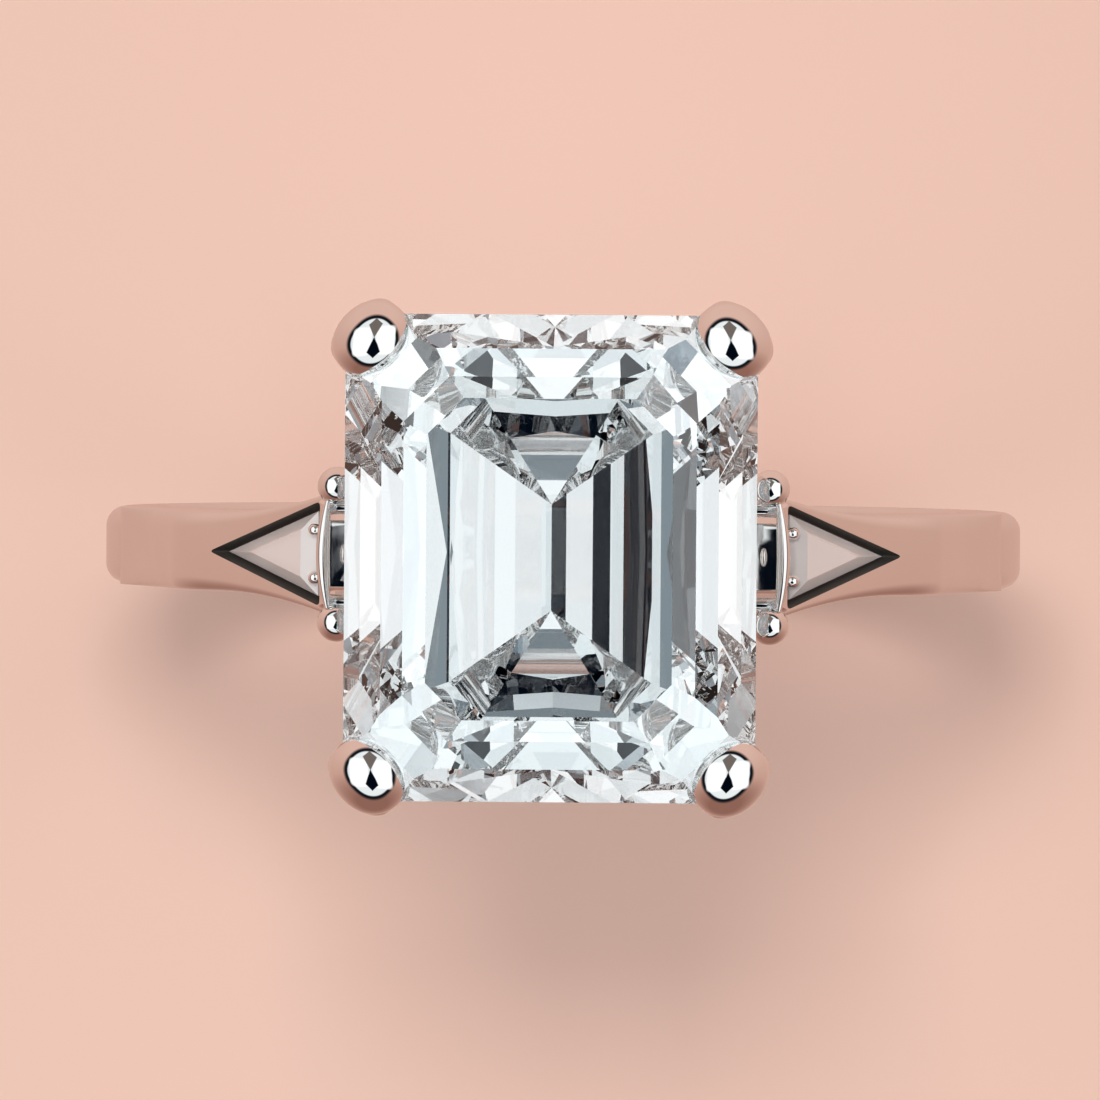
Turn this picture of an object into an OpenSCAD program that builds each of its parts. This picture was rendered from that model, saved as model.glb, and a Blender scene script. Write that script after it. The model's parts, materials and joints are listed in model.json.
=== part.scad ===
// Engagement ring: a step-cut centre stone in a four-claw head, with flush-set triangular side stones
// in the shoulders of a plain band. The origin is the centre of the finger bore, Y is the bore's axis,
// Z points up to the centre stone and X runs across the shoulders. Millimetres.

/* [Band] */
// Inside diameter of the band, which sets the finger size
bore_d = 16.9; // [15.7:0.1:18.1]
// Thickness of the band's wall
band_t = 1.5; // [1.4:0.05:1.6]
// Width of the band at the back of the finger
band_w = 1.65; // [1.5:0.05:1.8]
// Width of the shoulders beside the head
shoulder_w = 2.6; // [2.5:0.05:2.8]
// Slope of the shoulders that carry the side stones, in degrees
shoulder_tilt = 42; // [40:1:44]

/* [Centre stone] */
// Width of the centre stone across the finger
stone_w = 8.5; // [8.35:0.05:8.7]
// Length of the centre stone along the finger
stone_l = 10.05; // [9.95:0.05:10.2]
// Leg of the cut corners
corner_leg = 1.1; // [0.95:0.05:1.15]
// Height of the crown above the girdle
crown_h = 1.35; // [1.25:0.05:1.45]
// Thickness of the girdle
girdle_t = 0.3; // [0.25:0.05:0.35]
// Depth of the pavilion below the girdle
pavilion_h = 4.55; // [4.55:0.1:4.65]
// Length of the keel line at the bottom of the pavilion
keel_l = 2.2; // [2:0.05:2.4]

/* [Side stones] */
// Length of the stone's pocket down the slope
pocket_l = 3.25; // [3.1:0.05:3.3]
// Width of the stone's pocket at its base
pocket_w = 2.2; // [2.1:0.02:2.22]
// Width of the open groove round each side stone
groove_w = 0.14; // [0.1:0.01:0.16]

/* [Head] */
// Width of a claw across the stone's corner
claw_w = 1.68; // [1.5:0.02:1.74]
// Outward lean of the claws, in degrees
claw_lean = 29.5; // [29:0.5:30]
// Radius of the round end of a claw
claw_tip_r = 0.42; // [0.38:0.01:0.46]
// Width of the gallery rails, seen from above
rail_w = 0.5; // [0.45:0.01:0.55]
// Height of the gallery rails
rail_h = 0.65; // [0.6:0.01:0.7]

/* [Collars] */
// Diameter of the bead at each end of a collar
bead_d = 0.82; // [0.76:0.02:0.86]
// Height of a collar above the shoulder it ends
collar_rise = 0.6; // [0.5:0.05:0.7]

/* [Hidden] */
$fn = 96;

// Band and finger bore
bore_r = bore_d / 2;
band_r = bore_r + band_t;
floor_z = bore_r + 1;
edge_r = 0.25;
flare_z = band_r - 1.25;

// Centre stone levels, from the culet up
culet_gap = 0.15;
culet_z = floor_z + culet_gap;
girdle_z = culet_z + pavilion_h;
crown_z = girdle_z + girdle_t;
table_z = crown_z + crown_h;
half_w = stone_w / 2;
half_l = stone_l / 2;
keel_r = keel_l / 2;

// Each row of a stone: half width, half length, corner leg, height
crown_rows = [
    [half_w, half_l, corner_leg, crown_z],
    [half_w - 0.78, half_l - 0.7, corner_leg * 0.8, crown_z + crown_h * 0.58],
    [half_w - 1.24, half_l - 1.28, corner_leg * 0.85, crown_z + crown_h * 0.83],
    [half_w - 1.72, half_l - 1.72, corner_leg * 0.55, table_z]
];
pavilion_rows = [
    [half_w, half_l, corner_leg, girdle_z],
    [half_w - 1, half_l - 0.88, corner_leg * 1.05, girdle_z - pavilion_h * 0.39],
    [half_w - 2.16, half_l - 1.74, corner_leg * 0.65, girdle_z - pavilion_h * 0.63],
    [0, keel_r, 0, culet_z]
];
split_a = 3.5;
split_drop_x = 0.14;
split_drop_y = 0.1;

// Shoulders
end_x = half_w + 0.5;
end_z = band_r + 1.1;
flare_in = (shoulder_w - band_w) / 2;
flare_r = (flare_in * flare_in + (end_z - flare_z) * (end_z - flare_z)) / (2 * flare_in);
bend_x = end_x + 3.25;
bend_z = end_z - (bend_x - end_x) * tan(shoulder_tilt);
bend_r = 2.2;
// A shoulder's foot stands a little above the point where its outer line would only touch the band
foot_rise_a = 1.6;
foot_a = atan2(bend_x, bend_z) + acos(band_r / norm([bend_x, bend_z])) - foot_rise_a;
foot_x = band_r * sin(foot_a);
foot_z = band_r * cos(foot_a);
foot_slope = atan2(bend_z - foot_z, foot_x - bend_x);
bend_leg = bend_r * tan((foot_slope - shoulder_tilt) / 2);
bend_c = [
    bend_x - bend_leg * cos(shoulder_tilt) - bend_r * sin(shoulder_tilt),
    bend_z + bend_leg * sin(shoulder_tilt) - bend_r * cos(shoulder_tilt)
];

// Side stones, measured down the slope from the pocket's base
pocket_x = end_x + 0.14;
pocket_z = end_z - (pocket_x - end_x) * tan(shoulder_tilt);
pocket_d = 0.3;
side_half_a = atan2(pocket_w / 2, pocket_l);
side_base = 0.2;
side_tip = pocket_l - groove_w / sin(side_half_a);
side_r = (side_tip - side_base) * tan(side_half_a);
side_girdle = -0.26;
side_girdle_t = 0.1;
side_crown_h = 0.24;
side_depth = 0.62;
side_claw_r = 0.13;
side_claw_y = 0.5;

// Head
claw_t = 0.8;
claw_in = 0.17;
claw_curve_r = 1;
claw_foot_w = 1;
tip_half = 0.12;
tip_z = crown_z + 0.18;
dome_r = claw_w / 2 + 0.01;
dome_z = tip_z + claw_tip_r - dome_r - 0.02;
corner_x = half_w - corner_leg / 2;
corner_y = half_l - corner_leg / 2;
upper_rail_z = floor_z + 1.7;
upper_rail_x = half_w - 0.25;
upper_rail_y = half_l - 0.27;
upper_rail_leg = 2.3;
lower_rail_x = 2.45;
lower_rail_y = 3.25;
lower_rail_leg = 0.95;
bridge_r = 0.16;
bridge_y = 0.98;
bridge_z = upper_rail_z + rail_h * 0.42;

// Collars
collar_in = half_w + 0.38;
collar_mid = half_w + 0.7;
collar_end = half_w + 0.52;
collar_y = 1.12;
collar_z = end_z + collar_rise;
ledge_in = upper_rail_x - 0.25;
ledge_y = 0.72;
ledge_h = 0.3;
ledge_z = upper_rail_z - 0.08 - ledge_h;
bead_r = bead_d / 2;
bead_x = half_w + 0.27;
bead_y = 1.42;
bead_z = collar_z - 0.35;

// Big enough to pass every face of the ring
far = 40;

metal = [0.86, 0.86, 0.85];
gem = [0.86, 0.93, 0.97];

// Draws a shape of the XZ plane and runs it along Y, centred
module along_y(w) {
    rotate([90, 0, 0]) {
        translate([0, 0, -w / 2]) linear_extrude(w) children();
    }
}

// Draws a shape of the YZ plane and runs it along X, centred
module along_x(w) {
    rotate([90, 0, 90]) {
        translate([0, 0, -w / 2]) linear_extrude(w) children();
    }
}

// Everything behind a plane that faces azimuth az, leans back by tilt and passes radius r at height z
module behind(az, tilt, r, z) {
    translate([r * cos(az), r * sin(az), z]) {
        rotate([0, tilt, az]) {
            translate([-far / 2, -far / 2, -far]) cube(far);
        }
    }
}

// The angle from straight up of the face between two levels of a stone
function face_tilt(r0, z0, r1, z1) = z1 > z0 ? atan2(z1 - z0, r0 - r1) : atan2(z0 - z1, r1 - r0);

// How far the corner face of a stone's level stands from the stone's axis
function corner_r(row) = (row[0] + row[1] - row[2]) / sqrt(2);

// The space inside the eight faces between two levels of the centre stone
module cut_tier(a, b) {
    intersection() {
        intersection_for(az = [0, 180]) {
            behind(az, face_tilt(a[0], a[3], b[0], b[3]), a[0], a[3]);
        }
        intersection_for(az = [90, 270]) {
            behind(az, face_tilt(a[1], a[3], b[1], b[3]), a[1], a[3]);
        }
        intersection_for(az = [45, 135, 225, 315]) {
            behind(az, face_tilt(corner_r(a), a[3], corner_r(b), b[3]), corner_r(a), a[3]);
        }
    }
}

// The tier under the girdle, its long faces split in two at the middle of each side
module split_tier(a, b) {
    intersection() {
        intersection_for(az = [0, 180], s = [-1, 1]) {
            behind(az + s * split_a, face_tilt(a[0], a[3], b[0], b[3]), a[0], a[3] - split_drop_x);
        }
        intersection_for(az = [90, 270], s = [-1, 1]) {
            behind(az + s * split_a, face_tilt(a[1], a[3], b[1], b[3]), a[1], a[3] - split_drop_y);
        }
        intersection_for(az = [45, 135, 225, 315]) {
            behind(az, face_tilt(corner_r(a), a[3], corner_r(b), b[3]), corner_r(a), a[3]);
        }
    }
}

// Plan of the girdle: a rectangle with cut corners
module cut_corner_plan(x, y, leg) {
    polygon([
        [x, y - leg], [x - leg, y], [leg - x, y], [-x, y - leg],
        [-x, leg - y], [leg - x, -y], [x - leg, -y], [x, leg - y]
    ]);
}

module stone_shape() {
    intersection() {
        translate([0, 0, culet_z - 1]) {
            linear_extrude(table_z - culet_z + 1) cut_corner_plan(half_w, half_l, corner_leg);
        }
        cut_tier(crown_rows[0], crown_rows[1]);
        cut_tier(crown_rows[1], crown_rows[2]);
        cut_tier(crown_rows[2], crown_rows[3]);
        split_tier(pavilion_rows[0], pavilion_rows[1]);
        cut_tier(pavilion_rows[1], pavilion_rows[2]);
        cut_tier(pavilion_rows[2], pavilion_rows[3]);
    }
}

// Side walls of the band and shoulders: straight up to the flare, then hollowed out to the wide head
module side_walls() {
    along_x(far) difference() {
        polygon([
            [-band_w / 2, -far / 2], [band_w / 2, -far / 2], [band_w / 2, flare_z],
            [shoulder_w, flare_z], [shoulder_w, far / 2],
            [-shoulder_w, far / 2], [-shoulder_w, flare_z], [-band_w / 2, flare_z]
        ]);
        for (s = [-1, 1]) translate([s * (band_w / 2 + flare_r), flare_z]) {
            circle(flare_r, $fn = 240);
        }
    }
}

// Half section of the band, its outer edges rounded
module band_section() {
    half = band_w / 2;
    union() {
        translate([0, -half]) square([band_r - edge_r, band_w]);
        translate([0, edge_r - half]) square([band_r, band_w - 2 * edge_r]);
        translate([band_r - edge_r, edge_r - half]) circle(edge_r);
        translate([band_r - edge_r, half - edge_r]) circle(edge_r);
    }
}

module shank() {
    color(metal) difference() {
        union() {
            rotate([90, 0, 0]) rotate_extrude() band_section();
            intersection() {
                rotate([90, 0, 0]) cylinder(r = band_r, h = 2 * shoulder_w, center = true);
                side_walls();
                translate([-far / 2, -far / 2, foot_z]) cube(far);
            }
        }
        rotate([90, 0, 0]) cylinder(r = bore_r, h = far, center = true);
        translate([-far / 2, -far / 2, floor_z]) cube(far);
    }
}

// Side view of a shoulder, its bend rounded
module shoulder_profile() {
    difference() {
        polygon([
            [end_x, 0], [end_x, end_z], [bend_x, bend_z], [foot_x, foot_z], [foot_x - 1, foot_z - 1]
        ]);
        difference() {
            polygon([
                [bend_x - bend_leg * cos(shoulder_tilt), bend_z + bend_leg * sin(shoulder_tilt)],
                [bend_x + 1, bend_z + 1],
                [bend_x + bend_leg * cos(foot_slope), bend_z - bend_leg * sin(foot_slope)]
            ]);
            translate(bend_c) circle(bend_r);
        }
    }
}

// Puts a shape on the slope of the right shoulder, X down the slope and Z out of it
module on_slope() {
    translate([pocket_x, 0, pocket_z]) {
        rotate([0, shoulder_tilt, 0]) children();
    }
}

// Plan of a triangle with its base at u0 and its point at u1 on the slope
module side_plan(u0, u1) {
    polygon([
        [u0, -(u1 - u0) * tan(side_half_a)], [u1, 0], [u0, (u1 - u0) * tan(side_half_a)]
    ]);
}

// A side stone on the slope: table, crown, girdle and three pavilion faces
module side_stone_shape() {
    mid_u = side_base + side_r * 0.8;
    in_r = mid_u - side_base;
    side_in_r = (side_tip - mid_u) * sin(side_half_a);
    crown_tilt = 40;
    top = side_girdle + side_girdle_t;
    side_az = 90 - side_half_a;
    intersection() {
        translate([0, 0, side_girdle - side_depth]) {
            linear_extrude(side_depth + side_girdle_t + side_crown_h) side_plan(side_base, side_tip);
        }
        translate([mid_u, 0, 0]) intersection() {
            behind(180, crown_tilt, in_r, top);
            behind(180, 90 + atan(in_r / side_depth), in_r, side_girdle);
            intersection_for(s = [-1, 1]) {
                behind(s * side_az, crown_tilt, side_in_r, top);
            }
            intersection_for(s = [-1, 1]) {
                behind(s * side_az, 90 + atan(side_in_r / side_depth), side_in_r, side_girdle);
            }
        }
    }
}

// One of the two small claws at the base of the right side stone
module side_claw_shape(s) {
    on_slope() {
        translate([side_base - side_claw_r * 0.5, s * side_claw_y, 0]) {
            difference() {
                union() {
                    translate([0, 0, -pocket_d]) cylinder(r = side_claw_r, h = pocket_d + 0.02);
                    translate([0, 0, 0.02]) sphere(side_claw_r);
                }
                translate([side_claw_r * 0.5 - side_base, -s * side_claw_y, 0]) side_stone_shape();
            }
        }
    }
}

// The collar of the right shoulder, seen from above
module collar_plan() {
    bow = collar_mid - collar_end;
    bow_r = (collar_y * collar_y + bow * bow) / (2 * bow);
    intersection() {
        translate([collar_mid - bow_r, 0]) circle(bow_r, $fn = 240);
        translate([collar_in, -collar_y]) square([1, 2 * collar_y]);
    }
}

module bead_shape(s) {
    translate([bead_x, s * bead_y, bead_z]) sphere(bead_r);
}

// A collar: a bowed bar with a flat ledge that reaches in under the upper rail
module collar_shape() {
    difference() {
        union() {
            translate([0, 0, bore_r]) linear_extrude(collar_z - bore_r) collar_plan();
            translate([ledge_in, -ledge_y, ledge_z]) {
                cube([collar_mid - 0.1 - ledge_in, 2 * ledge_y, ledge_h]);
            }
        }
        rotate([90, 0, 0]) cylinder(r = band_r, h = far, center = true);
        bead_shape(-1);
        bead_shape(1);
    }
}

module shoulder_shape() {
    difference() {
        intersection() {
            along_y(2 * shoulder_w) shoulder_profile();
            side_walls();
        }
        rotate([90, 0, 0]) cylinder(r = band_r, h = far, center = true);
        translate([0, 0, bore_r]) linear_extrude(collar_z) collar_plan();
        bead_shape(-1);
        bead_shape(1);
        on_slope() {
            translate([0, 0, -pocket_d]) linear_extrude(1) side_plan(0, pocket_l);
            side_stone_shape();
        }
    }
}

// A gallery rail round the stone, with cut corners like it
module rail(x, y, leg, z) {
    in_leg = leg - rail_w * (2 - sqrt(2));
    translate([0, 0, z]) linear_extrude(rail_h) difference() {
        cut_corner_plan(x, y, leg);
        cut_corner_plan(x - rail_w, y - rail_w, in_leg);
    }
}

module upper_rail_shape() {
    rail(upper_rail_x, upper_rail_y, upper_rail_leg, upper_rail_z);
}

module lower_rail_shape() {
    rail(lower_rail_x, lower_rail_y, lower_rail_leg, floor_z);
}

// Puts a shape at the corner of the stone, X straight out from the corner
module at_corner() {
    translate([corner_x, corner_y, girdle_z]) {
        rotate([0, 0, 45]) children();
    }
}

// A claw's leaning bar, endless: rounded outside, flat inside, narrower towards its foot
module claw_bar() {
    at_corner() rotate([0, claw_lean, 0]) intersection() {
        translate([claw_t - claw_in - claw_curve_r, 0, -far / 2]) cylinder(r = claw_curve_r, h = far);
        translate([-claw_in, -far / 2, -far / 2]) cube(far);
        along_x(far) polygon([
            [-claw_foot_w / 2, -6], [claw_foot_w / 2, -6],
            [claw_w / 2, 0], [claw_w / 2, 2], [-claw_w / 2, 2], [-claw_w / 2, 0]
        ]);
    }
}

// The claw at the corner where X and Y are positive
module claw_shape() {
    difference() {
        union() {
            intersection() {
                claw_bar();
                union() {
                    translate([0, 0, floor_z]) linear_extrude(dome_z - floor_z) square(far);
                    translate([0, 0, dome_z - girdle_z]) at_corner() sphere(dome_r);
                }
            }
            translate([0, 0, tip_z - girdle_z]) at_corner() {
                for (s = [-1, 1]) translate([0, s * tip_half, 0]) sphere(claw_tip_r);
                rotate([90, 0, 0]) cylinder(r = claw_tip_r, h = 2 * tip_half, center = true);
            }
        }
        stone_shape();
        upper_rail_shape();
        lower_rail_shape();
    }
}

// One post between the right collar and the upper rail
module bridge_shape(s) {
    rail_x = upper_rail_x;
    translate([rail_x, s * bridge_y, bridge_z]) {
        rotate([0, 90, 0]) cylinder(r = bridge_r, h = collar_in - rail_x);
    }
}

module side_stone() {
    color(gem) on_slope() side_stone_shape();
}

module shoulder() {
    color(metal) shoulder_shape();
}

module side_claw(s) {
    color(metal) side_claw_shape(s);
}

module collar() {
    color(metal) collar_shape();
}

module collar_bead(s) {
    color(metal) bead_shape(s);
}

module claw() {
    color(metal) claw_shape();
}

module bridge(s) {
    color(metal) bridge_shape(s);
}

module upper_gallery_rail() {
    color(metal) upper_rail_shape();
}

module lower_gallery_rail() {
    color(metal) lower_rail_shape();
}

module centre_stone() {
    color(gem) stone_shape();
}

shank();
mirror([1, 0, 0]) shoulder();  // shoulder_left
shoulder();  // shoulder_right
mirror([1, 0, 0]) side_stone();  // side_stone_left
side_stone();  // side_stone_right
mirror([1, 0, 0]) side_claw(-1);  // side_claw_left_front
mirror([1, 0, 0]) side_claw(1);  // side_claw_left_back
side_claw(-1);  // side_claw_right_front
side_claw(1);  // side_claw_right_back
mirror([1, 0, 0]) collar();  // collar_left
collar();  // collar_right
mirror([1, 0, 0]) collar_bead(-1);  // collar_bead_left_front
mirror([1, 0, 0]) collar_bead(1);  // collar_bead_left_back
collar_bead(-1);  // collar_bead_right_front
collar_bead(1);  // collar_bead_right_back
mirror([0, 1, 0]) mirror([1, 0, 0]) claw();  // claw_left_front
mirror([1, 0, 0]) claw();  // claw_left_back
mirror([0, 1, 0]) claw();  // claw_right_front
claw();  // claw_right_back
upper_gallery_rail();
lower_gallery_rail();
mirror([1, 0, 0]) bridge(-1);  // bridge_left_front
mirror([1, 0, 0]) bridge(1);  // bridge_left_back
bridge(-1);  // bridge_right_front
bridge(1);  // bridge_right_back
centre_stone();
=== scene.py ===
import json
import math

import bmesh
import bpy
from mathutils import Matrix, Vector


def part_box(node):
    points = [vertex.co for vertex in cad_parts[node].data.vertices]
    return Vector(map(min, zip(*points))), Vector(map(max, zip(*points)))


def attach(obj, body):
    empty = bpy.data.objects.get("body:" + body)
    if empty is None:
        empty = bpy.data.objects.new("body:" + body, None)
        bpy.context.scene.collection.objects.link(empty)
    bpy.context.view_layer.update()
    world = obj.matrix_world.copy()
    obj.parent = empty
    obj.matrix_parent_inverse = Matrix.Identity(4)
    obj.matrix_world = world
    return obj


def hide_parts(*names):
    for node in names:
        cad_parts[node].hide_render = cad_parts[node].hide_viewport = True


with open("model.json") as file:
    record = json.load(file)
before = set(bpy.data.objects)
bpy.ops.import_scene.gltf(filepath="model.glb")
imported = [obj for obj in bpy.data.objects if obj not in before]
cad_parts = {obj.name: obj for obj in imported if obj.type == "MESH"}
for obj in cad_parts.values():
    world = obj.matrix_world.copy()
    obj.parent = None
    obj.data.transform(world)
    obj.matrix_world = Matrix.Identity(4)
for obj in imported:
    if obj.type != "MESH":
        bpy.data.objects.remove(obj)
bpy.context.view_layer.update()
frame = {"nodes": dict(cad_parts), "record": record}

MM = 0.001
ROOT = "root"

# ---------------------------------------------------------------- sizes, in millimetres

bore_r = frame["record"]["mounts"][0]["dims"]["r_mm"]


def box_mm(node):
    lo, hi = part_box(node)
    return Vector(lo) / MM, Vector(hi) / MM


stone_hi = box_mm("centre_stone")[1]
arm_lo, arm_hi = box_mm("shoulder_right")
collar_lo, collar_hi = box_mm("collar_right")
bead_lo, bead_hi = box_mm("collar_bead_right_back")

band_r = -box_mm("shank")[0].z
floor_z = box_mm("lower_gallery_rail")[0].z
rail_base_z = box_mm("upper_gallery_rail")[0].z
claw_top_z = box_mm("claw_right_back")[1].z
half_w = stone_hi.x
half_l = stone_hi.y
table_z = stone_hi.z
end_x = arm_lo.x
end_z = arm_hi.z

# Dimensions of the part that its boxes don't give
BAND_HALF = 0.825  # half the width of the band below the flare
ARM_HALF = 1.3  # half the width of a shoulder at the head
FLARE_Z = band_r - 1.25  # where the flare starts
SLOPE = math.radians(42)  # slope of a shoulder's top
FOOT_RISE = math.radians(1.6)
BEND_RUN = 3.25  # from a shoulder's inner end out to its bend
BEND_R = 2.2
POCKET_IN = 0.14  # from a shoulder's inner end to the pocket's base
POCKET_L = 3.25
POCKET_W = 2.2
CORNER_LEG = 1.1  # leg of the stone's cut corners
CROWN_H = 1.35
GIRDLE_T = 0.3
LEAN = math.radians(29.5)  # outward lean of the head's claws

crown_z = table_z - CROWN_H
girdle_z = crown_z - GIRDLE_T


def smooth(a, b, v):
    t = min(max((v - a) / (b - a), 0.0), 1.0)
    return t * t * (3 - 2 * t)


def mix(a, b, t):
    return a + (b - a) * t


def turn(n):
    """n angles, evenly round a full turn."""
    return [2 * math.pi * j / n for j in range(n)]


FLARE_IN = ARM_HALF - BAND_HALF
FLARE_R = (FLARE_IN ** 2 + (end_z - FLARE_Z) ** 2) / (2 * FLARE_IN)


def half_width(z):
    """Half the width of the band or shoulder at height z: straight, then hollowed towards the head."""
    rise = min(max(z - FLARE_Z, 0.0), end_z - FLARE_Z)
    return BAND_HALF + FLARE_R - math.sqrt(FLARE_R ** 2 - rise ** 2)


# ---------------------------------------------------------------- materials


def new_material(name):
    m = bpy.data.materials.new(name)
    m.use_nodes = True
    nt = m.node_tree
    nt.nodes.clear()
    out = nt.nodes.new("ShaderNodeOutputMaterial")
    bsdf = nt.nodes.new("ShaderNodeBsdfPrincipled")
    nt.links.new(bsdf.outputs["BSDF"], out.inputs["Surface"])
    return m, nt, bsdf


def coords(nt):
    return nt.nodes.new("ShaderNodeTexCoord").outputs["Object"]


def noise(nt, vec, scale, detail=3.0, rough=0.55):
    n = nt.nodes.new("ShaderNodeTexNoise")
    n.inputs["Scale"].default_value = scale
    n.inputs["Detail"].default_value = detail
    n.inputs["Roughness"].default_value = rough
    nt.links.new(vec, n.inputs["Vector"])
    return n.outputs["Fac"]


def stretch(nt, vec, scale):
    m = nt.nodes.new("ShaderNodeMapping")
    m.inputs["Scale"].default_value = scale
    nt.links.new(vec, m.inputs["Vector"])
    return m.outputs["Vector"]


def remap(nt, value, a, b, lo, hi):
    r = nt.nodes.new("ShaderNodeMapRange")
    r.inputs["From Min"].default_value = a
    r.inputs["From Max"].default_value = b
    r.inputs["To Min"].default_value = lo
    r.inputs["To Max"].default_value = hi
    nt.links.new(value, r.inputs["Value"])
    return r.outputs["Result"]


def ramp(nt, value, stops):
    r = nt.nodes.new("ShaderNodeValToRGB")
    els = r.color_ramp.elements
    while len(els) < len(stops):
        els.new(0.5)
    for e, (pos, col) in zip(els, stops):
        e.position = pos
        e.color = (*col, 1.0)
    nt.links.new(value, r.inputs["Fac"])
    return r.outputs["Color"]


def bump(nt, height, strength, distance, bsdf):
    b = nt.nodes.new("ShaderNodeBump")
    b.inputs["Strength"].default_value = strength
    b.inputs["Distance"].default_value = distance
    nt.links.new(height, b.inputs["Height"])
    nt.links.new(b.outputs["Normal"], bsdf.inputs["Normal"])


def polished_metal(name, tone, low, high, wave):
    """White gold: a warm tint that drifts, hairline polishing marks and a faint hand-finished wave."""
    m, nt, bsdf = new_material(name)
    c = coords(nt)
    drift = noise(nt, c, 420.0, 2.0)
    hair = noise(nt, stretch(nt, c, (9000.0, 1400.0, 9000.0)), 1.0, 4.0, 0.7)
    swirl = noise(nt, c, 2600.0, 3.0)
    warm = tuple(v * 0.965 for v in tone)
    nt.links.new(ramp(nt, drift, [(0.3, warm), (0.7, tone)]), bsdf.inputs["Base Color"])
    mixed = nt.nodes.new("ShaderNodeMath")
    mixed.operation = "MULTIPLY"
    nt.links.new(hair, mixed.inputs[0])
    nt.links.new(swirl, mixed.inputs[1])
    nt.links.new(remap(nt, mixed.outputs["Value"], 0.12, 0.42, low, high), bsdf.inputs["Roughness"])
    bsdf.inputs["Metallic"].default_value = 1.0
    bump(nt, noise(nt, c, 900.0, 2.0), wave, 0.00003, bsdf)
    return m


def painted_shade_groove(name):
    """The unpolished walls of the groove round a side stone, painted dark grey as the shade inside the
    groove.
    """
    m, nt, bsdf = new_material(name)
    c = coords(nt)
    grain = noise(nt, c, 14000.0, 4.0, 0.7)
    tone = ramp(nt, grain, [(0.25, (0.11, 0.1, 0.092)), (0.75, (0.17, 0.155, 0.14))])
    nt.links.new(tone, bsdf.inputs["Base Color"])
    nt.links.new(remap(nt, grain, 0.2, 0.8, 0.35, 0.6), bsdf.inputs["Roughness"])
    bsdf.inputs["Metallic"].default_value = 0.2
    bump(nt, grain, 0.4, 0.000012, bsdf)
    return m


def diamond(name, tint, clear=1.0):
    """A stone with very fine polish lines and a body colour that barely drifts; clear is how much light
    goes through it, from 0 to 1."""
    m, nt, bsdf = new_material(name)
    c = coords(nt)
    cloud = noise(nt, c, 260.0, 2.0)
    pale = tuple(min(v * 1.012, 1.0) for v in tint)
    nt.links.new(ramp(nt, cloud, [(0.35, tint), (0.65, pale)]), bsdf.inputs["Base Color"])
    polish = noise(nt, stretch(nt, c, (30000.0, 2500.0, 30000.0)), 1.0, 2.0)
    nt.links.new(remap(nt, polish, 0.3, 0.7, 0.0, 0.004), bsdf.inputs["Roughness"])
    bsdf.inputs["Metallic"].default_value = 0.0
    bsdf.inputs["IOR"].default_value = 2.42
    bsdf.inputs["Transmission Weight"].default_value = clear
    return m


GOLD = polished_metal("white_gold_polish", (0.9, 0.885, 0.87), 0.03, 0.1, 0.16)
GOLD_TIP = polished_metal("white_gold_tip", (0.92, 0.91, 0.9), 0.012, 0.05, 0.06)
# painted shade: a dark grey material for the walls of the groove round the side stones
GROOVE_PAINTED_SHADE = painted_shade_groove("groove_shadow")
STONE = diamond("diamond_centre", (0.955, 0.985, 1.0))
# painted reflection: the side stones' pale pink body colour stands in for a pink surround seen in them, and
# shows mostly as diffuse colour since only a quarter of the light goes through
SIDE_STONE = diamond("diamond_side", (0.97, 0.9, 0.88), 0.25)

# ---------------------------------------------------------------- mesh helpers


def make_object(name, bm, materials, angle=40.0):
    bmesh.ops.remove_doubles(bm, verts=bm.verts, dist=1e-5)
    bmesh.ops.recalc_face_normals(bm, faces=bm.faces)
    me = bpy.data.meshes.new(name)
    bm.to_mesh(me)
    bm.free()
    me.transform(Matrix.Scale(MM, 4))
    for m in materials:
        me.materials.append(m)
    me.shade_smooth()
    me.set_sharp_from_angle(angle=math.radians(angle))
    ob = bpy.data.objects.new(name, me)
    bpy.context.scene.collection.objects.link(ob)
    return ob


def loft(bm, rings, closed=False, caps=True, material=0):
    """Quads between rings of the same number of points; closed joins the last ring to the first."""
    rows = [[bm.verts.new(p) for p in ring] for ring in rings]
    n = len(rows[0])
    pairs = list(zip(rows, rows[1:]))
    if closed:
        pairs.append((rows[-1], rows[0]))
    for a, b in pairs:
        for i in range(n):
            j = (i + 1) % n
            f = bm.faces.new((a[i], a[j], b[j], b[i]))
            f.material_index = material
    if caps and not closed:
        for row in (rows[0], rows[-1]):
            f = bm.faces.new(row)
            f.material_index = material
    return rows


def applied(ob):
    """The object's mesh with its modifiers in it."""
    dg = bpy.context.evaluated_depsgraph_get()
    me = bpy.data.meshes.new_from_object(ob.evaluated_get(dg))
    ob.modifiers.clear()
    old = ob.data
    ob.data = me
    bpy.data.meshes.remove(old)


def cut(ob, cutter, keep_cutter=False):
    mod = ob.modifiers.new("cut", "BOOLEAN")
    mod.operation = "DIFFERENCE"
    mod.solver = "EXACT"
    mod.material_mode = "TRANSFER"
    mod.object = cutter
    applied(ob)
    if not keep_cutter:
        bpy.data.objects.remove(cutter)
    ob.data.shade_smooth()
    ob.data.set_sharp_from_angle(angle=math.radians(32))


def join(ob, other):
    """Adds another closed piece to this one as one solid, and removes the other."""
    mod = ob.modifiers.new("join", "BOOLEAN")
    mod.operation = "UNION"
    mod.solver = "EXACT"
    mod.object = other
    applied(ob)
    bpy.data.objects.remove(other)
    ob.data.shade_smooth()
    ob.data.set_sharp_from_angle(angle=math.radians(40))


def place(ob, slot, *nodes):
    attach(ob, ROOT)
    if nodes:
        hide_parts(*nodes)


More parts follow.
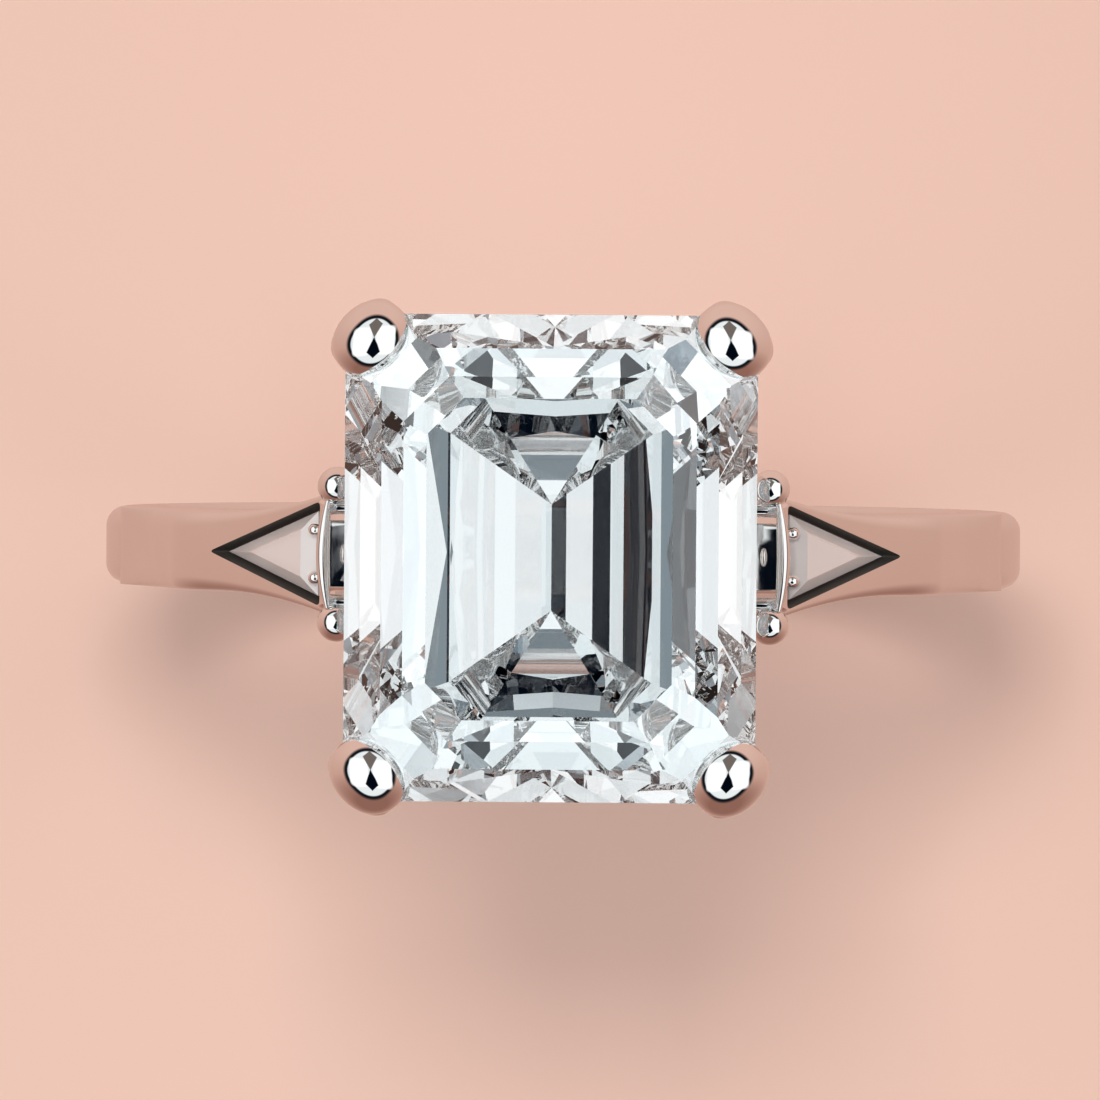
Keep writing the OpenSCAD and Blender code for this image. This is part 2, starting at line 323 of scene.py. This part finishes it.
def mirrored(ob, name, sx, sy):
    """A copy of a piece on the other side of the ring."""
    me = ob.data.copy()
    me.name = name
    me.transform(Matrix.Diagonal((sx, sy, 1, 1)))
    if sx * sy < 0:
        me.flip_normals()
    copy = bpy.data.objects.new(name, me)
    bpy.context.scene.collection.objects.link(copy)
    return copy


# ---------------------------------------------------------------- band

EDGE_OUT = 0.42  # radius of the band's outer edges
EDGE_IN = 0.2  # radius of the edges against the finger


def band_section(a):
    """The points of the band's section at angle a from the top, in order round the section."""
    steps = 7
    q = [math.radians(90) * k / steps for k in range(steps + 1)]
    loop = []
    for t in q:  # outer +y edge: side to outside
        loop.append((1, 1, EDGE_OUT, math.cos(t), math.sin(t)))
    for t in reversed(q):  # outer -y edge: outside to side
        loop.append((1, -1, EDGE_OUT, math.cos(t), math.sin(t)))
    for t in q:  # inner -y edge
        loop.append((-1, -1, EDGE_IN, math.cos(t), math.sin(t)))
    for t in reversed(q):  # inner +y edge
        loop.append((-1, 1, EDGE_IN, math.cos(t), math.sin(t)))
    ring = []
    for side_r, side_y, rad, c, s in loop:
        if side_r > 0:
            r = band_r - rad * (1 - s)
        else:
            r = bore_r + rad * (1 - s)
        z = r * math.cos(a)
        x = r * math.sin(a)
        y = side_y * (half_width(z) - rad * (1 - c))
        ring.append(Vector((x, y, min(z, floor_z))))
    return ring


def build_band():
    bm = bmesh.new()
    n = 288
    rings = [band_section(2 * math.pi * k / n) for k in range(n)]
    loft(bm, rings, closed=True)
    ob = make_object("band", bm, [GOLD], 35)
    place(ob, "white_gold", "shank")


build_band()

# ---------------------------------------------------------------- shoulders

bend_x = end_x + BEND_RUN
bend_z = end_z - BEND_RUN * math.tan(SLOPE)
# the foot stands a little above the point where the outer line would only touch the band
foot_a = math.atan2(bend_x, bend_z) + math.acos(band_r / math.hypot(bend_x, bend_z)) - FOOT_RISE
foot_x = band_r * math.sin(foot_a)
foot_z = band_r * math.cos(foot_a)
foot_slope = math.atan2(bend_z - foot_z, foot_x - bend_x)
bend_leg = BEND_R * math.tan((foot_slope - SLOPE) / 2)
bend_c = Vector((
    bend_x - bend_leg * math.cos(SLOPE) - BEND_R * math.sin(SLOPE),
    bend_z + bend_leg * math.sin(SLOPE) - BEND_R * math.cos(SLOPE),
))
pocket_x = end_x + POCKET_IN
pocket_z = end_z - POCKET_IN * math.tan(SLOPE)


def arm_top():
    """Points along the shoulder's outer line, from its inner end to its foot on the band."""
    pts = []
    a = Vector((end_x, end_z))
    b = Vector((bend_x - bend_leg * math.cos(SLOPE), bend_z + bend_leg * math.sin(SLOPE)))
    for k in range(24):
        pts.append(a.lerp(b, k / 24))
    for k in range(13):
        t = mix(SLOPE, foot_slope, k / 12)
        pts.append(bend_c + BEND_R * Vector((math.sin(t), math.cos(t))))
    c = pts[-1].copy()
    d = Vector((foot_x, foot_z))
    for k in range(1, 25):
        pts.append(c.lerp(d, k / 24))
    return pts


SINK = 0.03  # how far a shoulder's base runs into the band


def build_shoulder():
    """The right shoulder: rings from the head to the foot, each standing on the band, its top edges eased."""
    top = arm_top()
    lengths = [0.0]
    for p, q in zip(top, top[1:]):
        lengths.append(lengths[-1] + (q - p).length)
    total = lengths[-1]
    start_a = math.asin(end_x / band_r)
    rings = []
    for p, s in zip(top, lengths):
        a = mix(start_a, foot_a + 0.02, s / total)
        base = Vector((math.sin(a), math.cos(a))) * (band_r - SINK)
        up = p - base
        height = max(up.length, 0.02)
        edge = min(mix(0.13, 0.42, smooth(0.0, 0.75, s / total)), height * 0.7)
        ring = []
        steps = 8
        loop = [(-1, 0.0, 0.0)]
        for k in range(steps + 1):
            t = math.radians(90) * k / steps
            loop.append((-1, edge * (1 - math.cos(t)), height - edge + edge * math.sin(t)))
        for k in range(steps, -1, -1):
            t = math.radians(90) * k / steps
            loop.append((1, edge * (1 - math.cos(t)), height - edge + edge * math.sin(t)))
        loop.append((1, 0.0, 0.0))
        for side, inset, q in loop:
            pt = base + up * (q / height if up.length > 1e-6 else 0)
            y = side * (half_width(pt.y) - inset)
            ring.append(Vector((pt.x, y, pt.y)))
        rings.append(ring)
    bm = bmesh.new()
    loft(bm, rings)
    # the second slot holds the groove's painted shade, which the pocket cut brings in
    ob = make_object("shoulder_right_arm", bm, [GOLD, GROOVE_PAINTED_SHADE], 35)
    return ob


def on_slope(u, v, n):
    """A point on the right shoulder's slope: u down it from the pocket's base, v across, n out of it."""
    return Vector((
        pocket_x + u * math.cos(SLOPE) + n * math.sin(SLOPE),
        v,
        pocket_z - u * math.sin(SLOPE) + n * math.cos(SLOPE),
    ))


SLOPE_OUT = Vector((math.sin(SLOPE), 0.0, math.cos(SLOPE)))
CUT_DEPTH = 0.42
CORNER_R = 0.09  # radius of the pocket's corners
CORNER_MAX = 0.14  # the furthest that a corner's curve may run along a side
half_a = math.atan2(POCKET_W / 2, POCKET_L)


def pocket_cutter():
    """A triangular prism with softened corners. The pocket's floor is polished and its walls are painted dark
    as shade.
    """
    def outline(shrink, n):
        tip = POCKET_L - shrink / math.sin(half_a)
        base = shrink
        r = (tip - base) * math.tan(half_a)
        corners = [Vector((base, -r)), Vector((tip, 0)), Vector((base, r))]
        pts = []
        for i, c in enumerate(corners):
            p = corners[i - 1] - c
            q = corners[(i + 1) % 3] - c
            p.normalize()
            q.normalize()
            ang = p.angle(q) / 2
            leg = min(CORNER_R / math.tan(ang), CORNER_MAX)
            for k in range(7):
                t = k / 6
                a, b = c + p * leg, c + q * leg
                pts.append((a * (1 - t) ** 2 + c * 2 * t * (1 - t) + b * t * t))
        return [on_slope(p.x, p.y, n) for p in pts]

    bm = bmesh.new()
    loft(bm, [outline(0.05, -CUT_DEPTH), outline(0.0, -0.06), outline(0.0, 0.6)])
    ob = make_object("pocket_cutter", bm, [GOLD, GROOVE_PAINTED_SHADE], 30)
    deep = on_slope(0.0, 0.0, -CUT_DEPTH).dot(SLOPE_OUT) * MM
    # faces above the pocket's floor take the groove's painted shade
    for p in ob.data.polygons:
        p.material_index = 0 if p.center.dot(SLOPE_OUT) < deep + 0.05 * MM else 1
    return ob


arm = build_shoulder()
cut(arm, pocket_cutter())
place(arm, "white_gold", "shoulder_right")
arm_left = mirrored(arm, "shoulder_left_arm", -1, 1)
place(arm_left, "white_gold", "shoulder_left")

# ---------------------------------------------------------------- collars and their beads


COLLAR_GAP = 0.38  # from the stone's side to the collar bar


def build_collar():
    """A bowed bar with a rolled top, standing at the inner end of the right shoulder."""
    y_end = collar_hi.y
    x_in, x_mid = half_w + COLLAR_GAP, collar_hi.x
    bow = 0.18
    rings = []
    n = 36
    for k in range(n + 1):
        t = -1 + 2 * k / n
        y = t * y_end
        outer = x_mid - bow * t * t
        inner = x_in + 0.03 * (1 - t * t)
        half = (outer - inner) / 2
        mid = (outer + inner) / 2
        foot = math.sqrt(band_r ** 2 - mid ** 2) - 0.05
        crest = collar_hi.z - 0.1 * t * t
        ring = []
        ring.append(Vector((mid + half, y, foot)))
        ring.append(Vector((mid + half, y, (foot + crest) / 2)))
        steps = 12
        for j in range(steps + 1):
            a = math.pi * j / steps
            ring.append(Vector((mid + half * math.cos(a), y, crest - half + half * math.sin(a))))
        ring.append(Vector((mid - half, y, (foot + crest) / 2)))
        ring.append(Vector((mid - half, y, foot)))
        rings.append(ring)
    bm = bmesh.new()
    loft(bm, rings)
    bar = make_object("collar_right_bar", bm, [GOLD], 50)
    join(bar, build_ledge())
    return bar


RIDGE_OUT = 0.14  # from the stone's side to the ridge
RIDGE_R = 0.075
RIDGE_HALF = 0.2  # half the ridge's length


def build_ledge():
    """The flat step that reaches in from the collar under the upper rail, with a small ridge along it."""
    x_in, x_out = collar_lo.x, collar_hi.x - 0.1
    top = rail_base_z - 0.08
    y_half, height, ease = 0.72, 0.3, 0.06
    outline = []
    for sx, sy in ((1, 1), (-1, 1), (-1, -1), (1, -1)):
        start = math.degrees(math.atan2(sy, sx)) - 45
        for k in range(5):
            a = math.radians(start + 90 * k / 4)
            outline.append((sx * 1.0, sy * 1.0, math.cos(a), math.sin(a)))

    def ring(inset, z):
        pts = []
        for sx, sy, c, s in outline:
            x = (x_out if sx > 0 else x_in) - sx * (ease + inset) + c * ease
            y = sy * (y_half - ease - inset) + s * ease
            pts.append(Vector((x, y, z)))
        return pts

    bm = bmesh.new()
    loft(bm, [ring(0.0, top - height), ring(0.0, top - 0.04), ring(0.012, top - 0.012), ring(0.04, top)])
    plate = make_object("ledge", bm, [GOLD_TIP], 30)
    mid = half_w + RIDGE_OUT
    rings = []
    for k in range(25):
        t = -1 + 2 * k / 24
        r = RIDGE_R * math.sqrt(max(1 - t * t, 0.0004))
        rings.append([
            Vector((mid + r * math.cos(a), RIDGE_HALF * t, top + r * math.sin(a)))
            for a in turn(16)
        ])
    bm = bmesh.new()
    loft(bm, rings)
    join(plate, make_object("ridge", bm, [GOLD_TIP], 60))
    return plate


def build_bead():
    """A round bead with a small soldered neck that runs to the collar."""
    centre = (bead_lo + bead_hi) / 2
    rad = (bead_hi.x - bead_lo.x) / 2
    axis = Vector((0.25, -1, -0.2)).normalized()
    side = axis.orthogonal().normalized()
    up = axis.cross(side)
    rings = []
    n = 40
    for k in range(1, 26):
        a = math.pi * k / 26
        h = -rad * math.cos(a)
        r = rad * math.sin(a)
        if h > 0:
            r = max(r, 0.19 + 0.1 * math.exp(-((rad - h) / 0.1)))
        rings.append([
            centre + axis * h + (side * math.cos(b) + up * math.sin(b)) * r
            for b in turn(n)
        ])
    bm = bmesh.new()
    rows = loft(bm, rings, caps=False)
    for row, h in ((rows[0], -rad), (rows[-1], rad)):
        tip = bm.verts.new(centre + axis * h)
        for i in range(n):
            bm.faces.new((row[i], row[(i + 1) % n], tip))
    return make_object("bead_right_back", bm, [GOLD_TIP], 60)


collar = build_collar()
place(collar, "white_gold", "collar_right")
place(mirrored(collar, "collar_left_bar", -1, 1), "white_gold", "collar_left")
bead = build_bead()
place(bead, "white_gold", "collar_bead_right_back")
place(mirrored(bead, "bead_right_front", 1, -1), "white_gold", "collar_bead_right_front")
place(mirrored(bead, "bead_left_back", -1, 1), "white_gold", "collar_bead_left_back")
place(mirrored(bead, "bead_left_front", -1, -1), "white_gold", "collar_bead_left_front")

# ---------------------------------------------------------------- gallery rails and posts


RAIL_W = 0.5
RAIL_EASE = 0.28  # how far a rail's corner curve runs along each side


def octagon(x, y, leg):
    return [
        Vector((x, y - leg, 0)), Vector((x - leg, y, 0)), Vector((leg - x, y, 0)), Vector((-x, y - leg, 0)),
        Vector((-x, leg - y, 0)), Vector((leg - x, -y, 0)), Vector((x - leg, -y, 0)), Vector((x, leg - y, 0)),
    ]


def build_rail(name, node, leg, crown):
    """A rail with rolled edges that follows an octagon, its corners eased. A higher crown is squarer."""
    lo, hi = box_mm(node)
    x, y = hi.x - RAIL_W / 2, hi.y - RAIL_W / 2
    height = hi.z - lo.z
    mid_z = (lo.z + hi.z) / 2
    corners = octagon(x, y, leg - RAIL_W * 0.29)
    path = []
    for i, c in enumerate(corners):
        p = (corners[i - 1] - c).normalized()
        q = (corners[(i + 1) % 8] - c).normalized()
        for k in range(7):
            t = k / 6
            a, b = c + p * RAIL_EASE, c + q * RAIL_EASE
            path.append(a * (1 - t) ** 2 + c * 2 * t * (1 - t) + b * t * t)
    rings = []
    n = len(path)
    for i, p in enumerate(path):
        along = (path[(i + 1) % n] - path[i - 1]).normalized()
        out = along.cross(Vector((0, 0, 1)))
        if out.dot(p) < 0:
            out = -out
        ring = []
        e = 2 / crown
        for a in turn(24):
            c, s = math.cos(a), math.sin(a)
            rx = math.copysign(abs(c) ** e, c) * RAIL_W / 2
            rz = math.copysign(abs(s) ** e, s) * height / 2
            ring.append(p + out * rx + Vector((0, 0, mid_z + rz)))
        rings.append(ring)
    bm = bmesh.new()
    loft(bm, rings, closed=True)
    ob = make_object(name, bm, [GOLD], 50)
    place(ob, "white_gold", node)


build_rail("upper_rail", "upper_gallery_rail", 2.3, 3.4)
build_rail("lower_rail", "lower_gallery_rail", 0.95, 3.4)


def build_post():
    """A short post from the right collar to the upper rail, spread at both ends."""
    lo, hi = box_mm("bridge_right_back")
    c = (lo + hi) / 2
    r = (hi.z - lo.z) / 2
    rings = []
    for k in range(17):
        t = k / 16
        x = mix(lo.x - 0.04, hi.x + 0.04, t)
        flare = 0.86 + 0.14 * (abs(2 * t - 1) ** 3)
        rings.append([
            Vector((x, c.y + r * flare * math.cos(a), c.z + r * flare * math.sin(a)))
            for a in turn(24)
        ])
    bm = bmesh.new()
    loft(bm, rings)
    return make_object("post_right_back", bm, [GOLD_TIP], 50)


post = build_post()
place(post, "white_gold", "bridge_right_back")
place(mirrored(post, "post_right_front", 1, -1), "white_gold", "bridge_right_front")
place(mirrored(post, "post_left_back", -1, 1), "white_gold", "bridge_left_back")
place(mirrored(post, "post_left_front", -1, -1), "white_gold", "bridge_left_front")

# ---------------------------------------------------------------- side claws


PEG_R = 0.13
PEG_U, PEG_V = 0.135, 0.5  # the peg's place down and across the slope
PEG_TOP = 0.02  # where its rounded head starts, out of the slope


def build_side_claw():
    """One of the tiny claws at the base of the right side stone: a peg with a rounded, tilted head."""
    rings = []
    for k in range(13):
        t = k / 12
        if t < 0.5:
            n = mix(-0.3, PEG_TOP, t / 0.5)
            rad = mix(0.1, PEG_R, t / 0.5)
            lean = 0
        else:
            a = math.radians(90) * (t - 0.5) / 0.5
            n = PEG_TOP + 0.12 * math.sin(a)
            rad = max(PEG_R * math.cos(a), 0.004)
            lean = 0.05 * (t - 0.5)
        ring = []
        for b in turn(24):
            ring.append(on_slope(PEG_U + lean + rad * math.cos(b), PEG_V + rad * math.sin(b), n))
        rings.append(ring)
    bm = bmesh.new()
    loft(bm, rings)
    return make_object("side_claw_peg_right_back", bm, [GOLD_TIP], 60)


peg = build_side_claw()
place(peg, "white_gold", "side_claw_right_back")
place(mirrored(peg, "side_claw_peg_right_front", 1, -1), "white_gold", "side_claw_right_front")
place(mirrored(peg, "side_claw_peg_left_back", -1, 1), "white_gold", "side_claw_left_back")
place(mirrored(peg, "side_claw_peg_left_front", -1, -1), "white_gold", "side_claw_left_front")

# ---------------------------------------------------------------- claws of the head

corner = Vector((half_w - CORNER_LEG / 2, half_l - CORNER_LEG / 2, 0))
OUT = Vector((1, 1, 0)).normalized()
ACROSS = Vector((-1, 1, 0)).normalized()
UP = Vector((0, 0, 1))
DOME_IN, DOME_OUT, DOME_HALF = 0.8, 0.76, 0.86  # reach of the dome inwards, outwards and to each side


def claw_ring(z, d_in, d_out, half, flat, n=56):
    """A level ring of a claw: d_in and d_out are how far it reaches inside and outside the corner's
    line, and a higher flat makes its inner side squarer."""
    ring = []
    e_out, e_in = 2 / 2.15, 2 / flat
    for a in turn(n):
        c, s = math.cos(a), math.sin(a)
        if c >= 0:
            d = d_out * abs(c) ** e_out
            w = half * math.copysign(abs(s) ** e_out, s)
        else:
            d = -d_in * abs(c) ** e_in
            w = half * math.copysign(abs(s) ** e_in, s)
        ring.append((d, w, z))
    return ring


def build_claw():
    """A leaning claw that widens upwards and closes over the stone's corner in a polished dome."""
    rings = []
    tan = math.tan(LEAN)
    dome_z = crown_z - 0.08
    # stem
    for k in range(19):
        t = k / 18
        z = mix(floor_z, dome_z - 0.1, t)
        shift = -(girdle_z - z) * tan
        half = mix(0.5, 0.83, t ** 1.1)
        thick_in = 0.18 * smooth(0.0, 0.2, t) + 0.02
        centre = shift + mix(0.27, 0.16, t ** 3)
        r = mix(0.34, 0.5, t ** 2)
        ring = [(centre + d, w, zz) for d, w, zz in claw_ring(z, r + thick_in * 0.2, r, half, 3.2)]
        rings.append(ring)
    # dome
    top = claw_top_z + 0.08
    rise = top - dome_z
    steps = 18
    for k in range(steps + 1):
        a = math.radians(90) * k / steps
        c, s = math.cos(a), math.sin(a)
        k_out = max(c, 0.015)
        centre = mix(0.0, -0.03, s)
        ring = [
            (centre + d * k_out, w * k_out, dome_z + rise * s)
            for d, w, _ in claw_ring(0, DOME_IN, DOME_OUT, DOME_HALF, 2.1)
        ]
        rings.append(ring)
    pts = [[corner + OUT * d + ACROSS * w + UP * z for d, w, z in ring] for ring in rings]
    bm = bmesh.new()
    loft(bm, pts)
    return make_object("claw_stem_right_back", bm, [GOLD_TIP], 60)


claw = build_claw()
place(claw, "white_gold", "claw_right_back")
place(mirrored(claw, "claw_stem_right_front", 1, -1), "white_gold", "claw_right_front")
place(mirrored(claw, "claw_stem_left_back", -1, 1), "white_gold", "claw_left_back")
place(mirrored(claw, "claw_stem_left_front", -1, -1), "white_gold", "claw_left_front")

# ---------------------------------------------------------------- stones


def dress(node, material):
    ob = frame["nodes"][node]
    if not ob.data.materials:
        ob.data.materials.append(material)
    for s in ob.material_slots:
        s.material = material


dress("centre_stone", STONE)
dress("side_stone_left", SIDE_STONE)
dress("side_stone_right", SIDE_STONE)

# ---------------------------------------------------------------- floor, light and camera


def build_floor():
    """A pale floor under the band. The stones and the metal don't see it, so it adds no pink to them."""
    bm = bmesh.new()
    z = -band_r - 0.05
    size = 900.0
    vs = [bm.verts.new((sx * size, sy * size, z)) for sx, sy in ((-1, -1), (1, -1), (1, 1), (-1, 1))]
    bm.faces.new(vs)
    ob = make_object("floor", bm, [])
    m, nt, bsdf = new_material("floor_blush")
    c = coords(nt)
    tone = noise(nt, c, 18.0, 2.0)
    blush = ramp(nt, tone, [(0.3, (0.84, 0.58, 0.49)), (0.7, (0.88, 0.63, 0.54))])
    nt.links.new(blush, bsdf.inputs["Base Color"])
    bsdf.inputs["Roughness"].default_value = 0.85
    # one-sided, so that the ring can be seen from below
    side = nt.nodes.new("ShaderNodeNewGeometry")
    clear = nt.nodes.new("ShaderNodeBsdfTransparent")
    choose = nt.nodes.new("ShaderNodeMixShader")
    nt.links.new(side.outputs["Backfacing"], choose.inputs["Fac"])
    nt.links.new(bsdf.outputs["BSDF"], choose.inputs[1])
    nt.links.new(clear.outputs["BSDF"], choose.inputs[2])
    nt.links.new(choose.outputs["Shader"], nt.nodes["Material Output"].inputs["Surface"])
    ob.data.materials.append(m)
    ob.visible_transmission = False
    ob.visible_glossy = False


build_floor()


# the metal's sky
HORIZON = (0.8, 0.56, 0.48)
BLUSH = (0.68, 0.44, 0.365)
RUST = (0.36, 0.19, 0.15)
NIGHT = (0.012, 0.016, 0.022)
DAYLIGHT = (0.93, 0.98, 1.0)
WHITE = (1.15, 1.17, 1.18)
TAUPE = (0.23, 0.2, 0.18)
INK = (0.002, 0.005, 0.012)

# panels of the metal's sky: centre x and y of the direction, half sizes, softness, colour
METAL_PANELS = [
    (-0.45, 0.0, 0.36, 0.6, 0.05, WHITE),
    (0.5, 0.0, 0.36, 0.6, 0.05, WHITE),
]
# a kite from y0 to y1: centre x, y0, y1, how fast it widens from y0 and from y1, colour
METAL_KITES = [
    (0.04, 0.16, 0.9, 0.6, 1.6, TAUPE),
    (0.04, -0.72, 0.2, 1.3, 0.45, INK),
]

# the stones' sky, which INK belongs to as well
STEEL = (0.25, 0.31, 0.36)
SNOW = (1.15, 1.18, 1.19)
STONE_BASE = (1.0, 1.06, 1.08)
STONE_UNDER = (0.34, 0.39, 0.42)

# Panels of the stones' sky: centre and half sizes on the equal-area map, and colour. They stand where the
# centre stone's long facets send light, so that the facets show as bright and dark bars.
STONE_PANELS = [
    # bright softboxes: low on the left, overhead and in front
    (-0.8, 0.0, 0.2, 0.35, SNOW),
    (-0.1, 0.0, 0.25, 0.1, SNOW),
    (0.05, -0.5, 0.3, 0.25, SNOW),
    # dark strips on both sides of straight overhead
    (0.17, -0.1, 0.05, 0.4, INK),
    (-0.3, -0.1, 0.04, 0.35, INK),
    (0.3, 0.14, 0.25, 0.06, INK),
    # dark walls low down: right, in front and behind
    (0.95, -0.1, 0.2, 0.25, INK),
    (0.0, -0.82, 0.3, 0.11, INK),
    (0.0, 0.8, 0.25, 0.08, INK),
    # a grey card in front, to the right
    (0.35, -0.75, 0.15, 0.15, STEEL),
]


def build_world():
    """Two studio skies: one for the metal, and a brighter one for light that comes out of the stones."""
    world = bpy.data.worlds.new("studio")
    world.use_nodes = True
    bpy.context.scene.world = world
    nt = world.node_tree
    nt.nodes.clear()
    out = nt.nodes.new("ShaderNodeOutputWorld")
    bg = nt.nodes.new("ShaderNodeBackground")
    nt.links.new(bg.outputs["Background"], out.inputs["Surface"])
    tc = nt.nodes.new("ShaderNodeTexCoord")
    sep = nt.nodes.new("ShaderNodeSeparateXYZ")
    nt.links.new(tc.outputs["Generated"], sep.inputs["Vector"])
    x, y, z = sep.outputs["X"], sep.outputs["Y"], sep.outputs["Z"]

    def op(kind, a, b=0.0):
        n = nt.nodes.new("ShaderNodeMath")
        n.operation = kind
        for i, v in enumerate((a, b)):
            if isinstance(v, (int, float)):
                n.inputs[i].default_value = v
            else:
                nt.links.new(v, n.inputs[i])
        return n.outputs["Value"]

    def blend(a, b, mask):
        """Colour a where the mask is 0 and b where it is 1."""
        n = nt.nodes.new("ShaderNodeMix")
        n.data_type = "RGBA"
        nt.links.new(mask, n.inputs["Factor"])
        for socket, colour in (("A", a), ("B", b)):
            if isinstance(colour, tuple):
                n.inputs[socket].default_value = (*colour, 1.0)
            else:
                nt.links.new(colour, n.inputs[socket])
        return n.outputs["Result"]

    def panel(px, py, cx, cy, rx, ry, soft):
        """1 inside a rounded panel centred on (cx, cy), 0 outside."""
        u = op("ABSOLUTE", op("DIVIDE", op("SUBTRACT", px, cx), rx))
        v = op("ABSOLUTE", op("DIVIDE", op("SUBTRACT", py, cy), ry))
        r = op("POWER", op("ADD", op("POWER", u, 4.0), op("POWER", v, 4.0)), 0.25)
        return remap(nt, r, 1.0 - soft, 1.0 + soft, 1.0, 0.0)

    side = remap(nt, y, -1.0, 1.0, 0.0, 1.0)
    rose = ramp(nt, side, [(0.08, RUST), (0.42, BLUSH), (0.9, HORIZON)])
    sky = ramp(nt, z, [(0.0, NIGHT), (0.44, NIGHT), (0.5, DAYLIGHT), (1.0, DAYLIGHT)])
    metal_sky = blend(rose, sky, remap(nt, z, 0.2, 0.34, 0.0, 1.0))
    above = remap(nt, z, 0.0, 0.06, 0.0, 1.0)
    for cx, cy, rx, ry, soft, tint in METAL_PANELS:
        metal_sky = blend(metal_sky, tint, op("MULTIPLY", panel(x, y, cx, cy, rx, ry, soft), above))
    for cx, y0, y1, slope0, slope1, tint in METAL_KITES:
        across = op("ABSOLUTE", op("SUBTRACT", x, cx))
        rise = op("MULTIPLY", op("SUBTRACT", y, y0), slope0)
        fall = op("MULTIPLY", op("SUBTRACT", y1, y), slope1)
        inside = remap(nt, op("SUBTRACT", op("MINIMUM", rise, fall), across), -0.02, 0.02, 0.0, 1.0)
        metal_sky = blend(metal_sky, tint, op("MULTIPLY", inside, above))

    # an equal-area map of the sky, so that low panels are not squeezed
    stretch_out = op("POWER", op("ADD", op("MAXIMUM", z, 0.0), 1.0), -0.5)
    a, b = op("MULTIPLY", x, stretch_out), op("MULTIPLY", y, stretch_out)
    stone_sky = blend(STONE_UNDER, STONE_BASE, above)
    for cx, cy, rx, ry, tint in STONE_PANELS:
        stone_sky = blend(stone_sky, tint, op("MULTIPLY", panel(a, b, cx, cy, rx, ry, 0.08), above))

    path = nt.nodes.new("ShaderNodeLightPath")
    nt.links.new(blend(metal_sky, stone_sky, path.outputs["Is Transmission Ray"]), bg.inputs["Color"])
    bg.inputs["Strength"].default_value = 1.0


build_world()
bpy.context.scene.view_settings.view_transform = "Standard"
bpy.context.scene.view_settings.gamma = 0.85

# light bounces many times inside a stone before it leaves
BOUNCES = 20
light_paths = bpy.context.scene.cycles
light_paths.max_bounces = BOUNCES
light_paths.glossy_bounces = BOUNCES
light_paths.transmission_bounces = BOUNCES


def build_key():
    """A soft lamp above and behind the ring. It lights the floor, and the metal and stones don't show it."""
    lamp = bpy.data.lights.new("key", "AREA")
    lamp.shape = "RECTANGLE"
    lamp.size, lamp.size_y = 0.06, 0.05
    lamp.energy = 0.2
    lamp.color = (1.0, 0.97, 0.94)
    ob = bpy.data.objects.new("key", lamp)
    bpy.context.scene.collection.objects.link(ob)
    ob.location = Vector((-0.01, 0.06, 0.24))
    ob.rotation_mode = "QUATERNION"
    ob.rotation_quaternion = ob.location.to_track_quat("Z", "Y")
    ob.visible_glossy = False
    ob.visible_transmission = False


build_key()


CAMERA_DIST = 250.0
FRAME_W = 22.68  # how much the frame spans across, at the stone's girdle
TILT_X, TILT_Y = math.radians(1.1), math.radians(1.0)
ROLL = math.radians(0.45)
AIM_X, AIM_Y = -0.01, 0.175  # where the camera aims, from the stone's centre


def build_camera():
    """A long lens above the ring, looking almost straight down."""
    cam = bpy.data.cameras.new("camera")
    ob = bpy.data.objects.new("camera", cam)
    bpy.context.scene.collection.objects.link(ob)
    cam.sensor_width = 36.0
    cam.lens = cam.sensor_width * CAMERA_DIST / FRAME_W
    cam.clip_start = 0.01
    cam.clip_end = 5.0
    look = Vector((0.0, 0.0, crown_z - GIRDLE_T / 2))
    zc = Vector((math.tan(TILT_X), math.tan(TILT_Y), 1.0)).normalized()
    xc = Vector((math.cos(ROLL), math.sin(ROLL), 0.0))
    xc = (xc - zc * xc.dot(zc)).normalized()
    yc = zc.cross(xc)
    pos = (look + xc * AIM_X + yc * AIM_Y + zc * CAMERA_DIST) * MM
    m = Matrix((xc, yc, zc)).transposed().to_4x4()
    m.translation = pos
    ob.matrix_world = m
    bpy.context.scene.camera = ob


build_camera()
